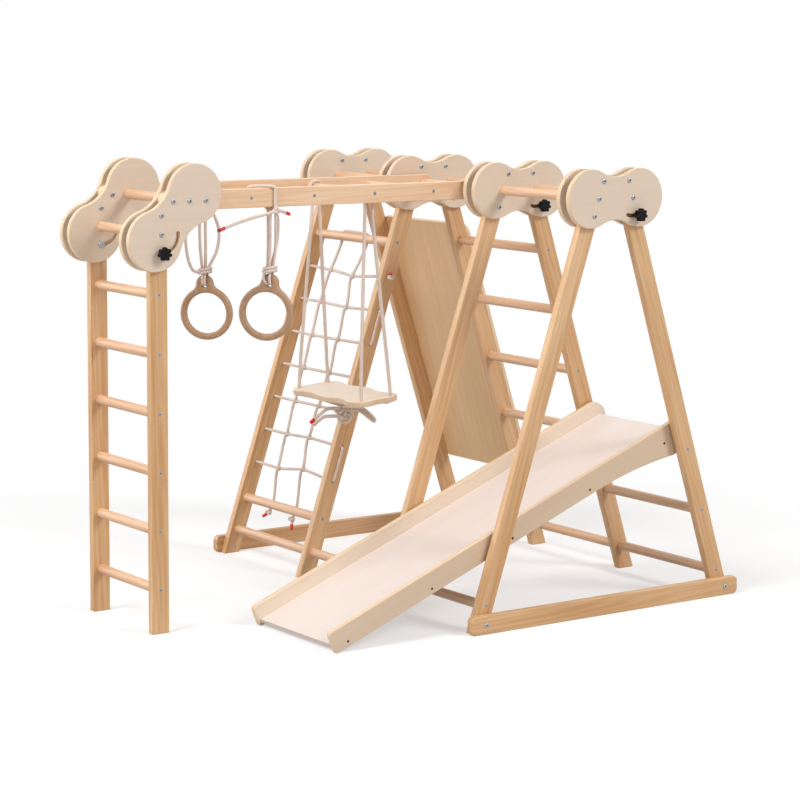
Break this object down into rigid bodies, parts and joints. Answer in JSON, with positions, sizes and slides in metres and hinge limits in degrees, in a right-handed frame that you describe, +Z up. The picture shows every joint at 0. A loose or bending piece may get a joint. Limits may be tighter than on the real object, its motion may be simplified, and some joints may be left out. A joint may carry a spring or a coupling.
{
  "type": "wooden indoor climber",
  "caption": "Folding wooden A-frame climber for a playroom, with rung wall, rope net, climbing board, slide, overhead bars with end ladder, hand rings and a swing.",
  "frame": {"origin": "on the floor, below the middle of the whole climber's box", "axes": "+X from the end ladder to the folding legs, +Y away from the slide, +Z up"},
  "size_m": [1.639, 1.2912, 1.188],
  "materials": {
    "pine": "clear satin lacquer",
    "birch_plywood": "clear satin lacquer",
    "pale_deck": "smooth pale plywood",
    "board_plywood": "clear satin lacquer",
    "ring_wood": "clear satin lacquer",
    "cotton_rope": "twisted cotton rope with red whipped tips",
    "steel": "zinc plated",
    "dark_screw": "dark coated screw heads",
    "black_knob": "moulded, matt"
  },
  "bodies": {
    "frame": {"left_leg_1": "pine", "left_leg_2": "pine", "left_leg_3": "pine", "left_leg_4": "pine", "hub_plates_1": "birch_plywood", "hub_plates_2": "birch_plywood", "hub_plates_3": "birch_plywood", "hub_plates_4": "birch_plywood", "ridge_dowels_left": "pine", "ridge_dowels_right": "pine", "ladder_hub_near": "birch_plywood", "ladder_hub_far": "birch_plywood", "overhead_rail_near": "pine", "overhead_rail_far": "pine", "overhead_rungs": "pine", "overhead_screws": "steel", "ladder_dowels": "pine", "left_rungs": "pine", "base_bar_near": "pine", "base_bar_far": "pine", "hub_bolts": "steel", "pivot_bolts": "steel", "ladder_hub_bolts": "steel", "base_bar_bolts": "steel", "frame_screws": "steel", "net_lacing": "cotton_rope", "net_uprights": "cotton_rope", "ring_hitch_near": "cotton_rope", "ring_hitch_far": "cotton_rope"},
    "right_legs": {"right_leg_1": "pine", "right_leg_2": "pine", "right_leg_3": "pine", "right_leg_4": "pine", "middle_rungs": "pine", "slide_rungs": "pine", "slide_hook_rung": "pine", "climbing_board": "board_plywood", "right_screws": "steel", "frame_studs": "steel"},
    "slide": {"slide_deck": "pale_deck", "slide_side_near": "birch_plywood", "slide_side_far": "birch_plywood", "slide_screws": "dark_screw"},
    "ladder": {"ladder_post_near": "pine", "ladder_post_far": "pine", "ladder_rungs": "pine", "ladder_screws": "steel", "ladder_studs": "steel"},
    "ring_near": {"ring_near": "ring_wood", "ring_rope_near": "cotton_rope"},
    "ring_far": {"ring_far": "ring_wood", "ring_rope_far": "cotton_rope"},
    "swing": {"swing_seat": "birch_plywood", "swing_ropes": "cotton_rope"},
    "knob_1": {"knob_1": "black_knob"},
    "knob_2": {"knob_2": "black_knob"},
    "knob_3": {"knob_3": "black_knob"},
    "knob_4": {"knob_4": "black_knob"},
    "ladder_knob_near": {"ladder_knob_near": "black_knob"},
    "ladder_knob_far": {"ladder_knob_far": "black_knob"}
  },
  "joints": [
    {"name": "leg_fold", "type": "hinge", "parent": "frame", "child": "right_legs", "pos_m": [0.42156, 0, 1.095], "axis": [0, 1, 0], "range_deg": [0, 36]},
    {"name": "slide_hang", "type": "hinge", "parent": "right_legs", "child": "slide", "pos_m": [0.64638, -0.398, 0.4112], "axis": [0, 1, 0], "range_deg": [-36, 0]},
    {"name": "ladder_fold", "type": "hinge", "parent": "frame", "child": "ladder", "pos_m": [-0.72655, 0, 1.01439], "axis": [0, -1, 0], "range_deg": [0, 28]},
    {"name": "ring_near_swing", "type": "hinge", "parent": "frame", "child": "ring_near", "pos_m": [-0.38644, -0.154, 1.0578], "axis": [0, 1, 0], "range_deg": [-20, 20]},
    {"name": "ring_far_swing", "type": "hinge", "parent": "frame", "child": "ring_far", "pos_m": [-0.40544, 0.154, 1.0578], "axis": [0, 1, 0], "range_deg": [-20, 20]},
    {"name": "swing_swing", "type": "hinge", "parent": "frame", "child": "swing", "pos_m": [-0.07384, 0, 1.095], "axis": [0, 1, 0], "range_deg": [-20, 20]},
    {"name": "knob_1_turn", "type": "hinge", "parent": "right_legs", "child": "knob_1", "pos_m": [0.43624, 0.6343, 1.05035], "axis": [0, 1, 0], "continuous": true},
    {"name": "knob_2_turn", "type": "hinge", "parent": "right_legs", "child": "knob_2", "pos_m": [0.43624, 0.2363, 1.05035], "axis": [0, 1, 0], "continuous": true},
    {"name": "knob_3_turn", "type": "hinge", "parent": "right_legs", "child": "knob_3", "pos_m": [0.43624, -0.2363, 1.05035], "axis": [0, 1, 0], "continuous": true},
    {"name": "knob_4_turn", "type": "hinge", "parent": "right_legs", "child": "knob_4", "pos_m": [0.43624, -0.6343, 1.05035], "axis": [0, 1, 0], "continuous": true},
    {"name": "ladder_knob_near_turn", "type": "hinge", "parent": "ladder", "child": "ladder_knob_near", "pos_m": [-0.72655, -0.1913, 0.96739], "axis": [0, 1, 0], "continuous": true},
    {"name": "ladder_knob_far_turn", "type": "hinge", "parent": "ladder", "child": "ladder_knob_far", "pos_m": [-0.72655, 0.1913, 0.96739], "axis": [0, 1, 0], "continuous": true}
  ],
  "couplings": [
    {"joint": "slide_hang", "follows": "leg_fold", "ratio": -1}
  ]
}
